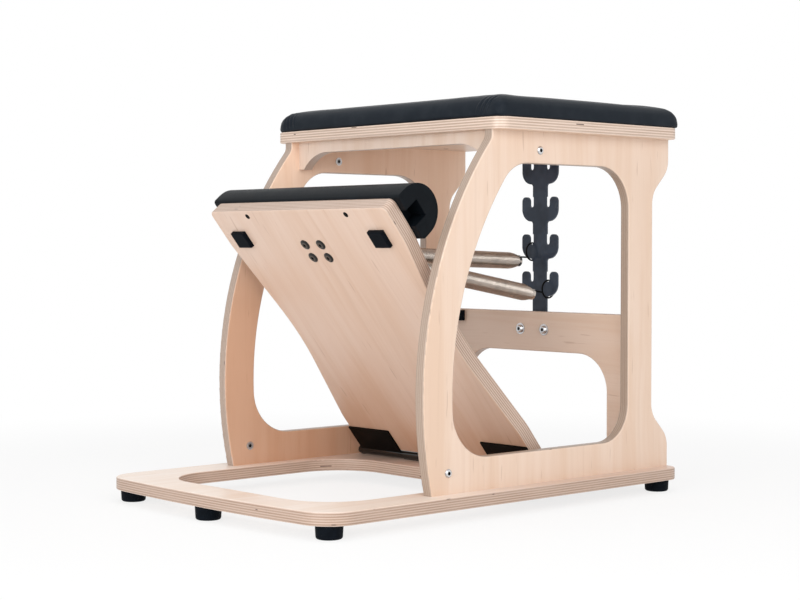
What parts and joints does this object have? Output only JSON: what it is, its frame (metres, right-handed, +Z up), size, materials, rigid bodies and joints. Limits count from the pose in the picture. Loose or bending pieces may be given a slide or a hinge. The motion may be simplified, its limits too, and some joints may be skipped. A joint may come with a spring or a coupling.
{
  "type": "pilates chair",
  "caption": "Plywood exercise chair with a padded seat and a sprung, hinged foot pedal whose tension springs hook onto a slotted post behind.",
  "frame": {"origin": "on the floor under the middle of the base board", "axes": "+Z up, the pedal and the bowed edge of the base at -Y, the spring post at +Y"},
  "size_m": [0.561, 0.79, 0.6515],
  "materials": {
    "birch_ply": "satin",
    "black_vinyl": "satin",
    "black_rubber": "matte",
    "black_steel": "gloss",
    "zinc_steel": "bright",
    "nickel_wire": "bright"
  },
  "bodies": {
    "frame": {"base_board": "birch_ply", "side_panel_left": "birch_ply", "side_panel_right": "birch_ply", "seat_board": "birch_ply", "rear_panel": "birch_ply", "front_apron": "birch_ply", "seat_pad": "black_vinyl", "seat_pad_backing": "birch_ply", "seat_pad_screws": "zinc_steel", "frame_screws": "zinc_steel", "seat_screws": "zinc_steel", "dowels": "birch_ply", "panel_bolts_left": "zinc_steel", "panel_bolts_right": "zinc_steel", "panel_nuts_left": "zinc_steel", "panel_nuts_right": "zinc_steel", "foot_front_left": "black_rubber", "foot_front_middle": "black_rubber", "foot_front_right": "black_rubber", "foot_rear_left": "black_rubber", "foot_rear_right": "black_rubber", "foot_screws": "zinc_steel", "spring_post": "black_steel", "post_bolts": "zinc_steel", "post_washers": "zinc_steel", "post_nuts": "zinc_steel", "post_screws": "zinc_steel", "hinge_plate": "black_steel", "hinge_plate_screws": "black_steel", "hinge_pin": "zinc_steel", "stop_bumper": "black_rubber"},
    "pedal": {"pedal_board": "birch_ply", "pedal_roll": "black_vinyl", "roll_batten": "birch_ply", "roll_screws": "black_steel", "hinge_leaf_left": "black_steel", "hinge_leaf_right": "black_steel", "hinge_leaf_screws": "black_steel", "pedal_bumper_left": "black_rubber", "pedal_bumper_right": "black_rubber", "pedal_bracket": "black_steel", "bracket_rod": "zinc_steel", "bracket_bolts": "black_steel"},
    "upper_rear": {"upper_ring_hook": "black_steel", "upper_rear_plug": "nickel_wire", "upper_spring": "nickel_wire"},
    "upper_front": {"upper_front_plug": "nickel_wire"},
    "upper_hook": {"upper_pedal_hook": "black_steel"},
    "lower_rear": {"lower_ring_hook": "black_steel", "lower_rear_plug": "nickel_wire", "lower_spring": "nickel_wire"},
    "lower_front": {"lower_front_plug": "nickel_wire"},
    "lower_hook": {"lower_pedal_hook": "black_steel"}
  },
  "joints": [
    {"name": "pedal_hinge", "type": "hinge", "parent": "frame", "child": "pedal", "pos_m": [0, 0.1205, 0.049], "axis": [1, 0, 0], "range_deg": [0, 51], "stiffness_Nm_per_rad": 80, "springref_deg": -14.32},
    {"name": "upper_ring_swing", "type": "hinge", "parent": "frame", "child": "upper_rear", "pos_m": [-0.0194, 0.346, 0.4026], "axis": [1, 0, 0], "range_deg": [0, 26.59]},
    {"name": "upper_stretch", "type": "slide", "parent": "upper_rear", "child": "upper_front", "axis": [0, -0.9994, 0.0346], "range_m": [0, 0.2592], "deforming": ["upper_spring"]},
    {"name": "upper_hook_swing", "type": "hinge", "parent": "pedal", "child": "upper_hook", "pos_m": [-0.0194, -0.11359, 0.40116], "axis": [1, 0, 0], "range_deg": [-24.41, 0]},
    {"name": "lower_ring_swing", "type": "hinge", "parent": "frame", "child": "lower_rear", "pos_m": [0.0194, 0.346, 0.3364], "axis": [1, 0, 0], "range_deg": [0, 29.87]},
    {"name": "lower_stretch", "type": "slide", "parent": "lower_rear", "child": "lower_front", "axis": [0, -0.9851, 0.1717], "range_m": [0, 0.22828], "deforming": ["lower_spring"]},
    {"name": "lower_hook_swing", "type": "hinge", "parent": "pedal", "child": "lower_hook", "pos_m": [0.0194, -0.11359, 0.40116], "axis": [1, 0, 0], "range_deg": [-21.13, 0]}
  ],
  "couplings": [
    {"joint": "upper_ring_swing", "follows": "pedal_hinge", "ratio": 0.52141},
    {"joint": "upper_stretch", "follows": "pedal_hinge", "m_per_rad": 0.2912},
    {"joint": "upper_hook_swing", "follows": "pedal_hinge", "ratio": -0.47859},
    {"joint": "lower_ring_swing", "follows": "pedal_hinge", "ratio": 0.58563},
    {"joint": "lower_stretch", "follows": "pedal_hinge", "m_per_rad": 0.25646},
    {"joint": "lower_hook_swing", "follows": "pedal_hinge", "ratio": -0.41437}
  ]
}
